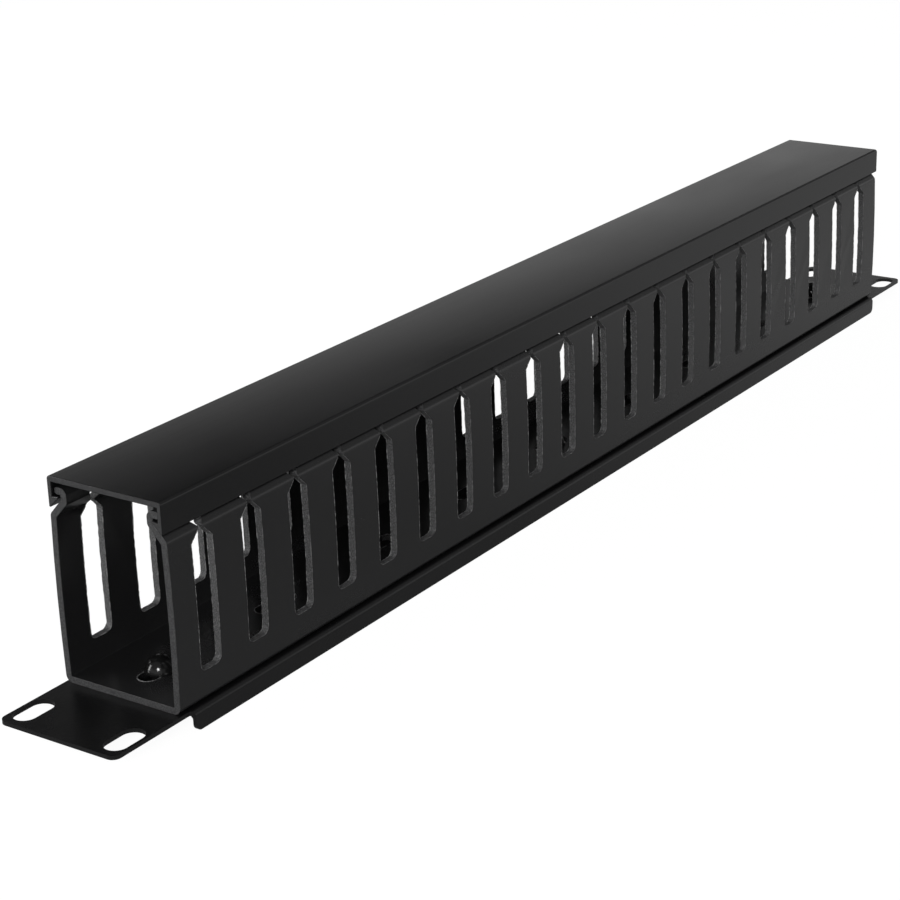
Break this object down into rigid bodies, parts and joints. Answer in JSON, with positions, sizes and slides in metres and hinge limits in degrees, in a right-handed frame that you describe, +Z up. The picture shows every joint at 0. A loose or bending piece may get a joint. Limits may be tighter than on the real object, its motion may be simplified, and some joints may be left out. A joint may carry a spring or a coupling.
{
  "type": "cable duct panel",
  "caption": "Rack panel with oblong ear slots that carries a slotted cable duct with a long clip-on cover.",
  "frame": {"origin": "middle of the footprint of the panel's two flanges", "axes": "+X along the duct, +Y across it towards its back wall, +Z up from the panel to the cover"},
  "size_m": [0.4826, 0.0434, 0.0659],
  "materials": {
    "powder_coat": "fine-textured satin black powder coat",
    "duct_pvc": "extruded black PVC with punched and sawn edges",
    "cover_pvc": "extruded black PVC, smooth with faint draw lines",
    "rivet_nylon": "moulded glossy black nylon"
  },
  "bodies": {
    "carrier": {"rack_panel": "powder_coat", "duct_base": "duct_pvc", "rivet_body_left": "rivet_nylon", "rivet_pin_left": "rivet_nylon", "rivet_body_centre": "rivet_nylon", "rivet_pin_centre": "rivet_nylon", "rivet_body_right": "rivet_nylon", "rivet_pin_right": "rivet_nylon"},
    "cover": {"duct_cover": "cover_pvc"}
  },
  "joints": [
    {"name": "cover_slide", "type": "slide", "parent": "carrier", "child": "cover", "axis": [1, 0, 0], "range_m": [-0.435, 0.435]}
  ]
}
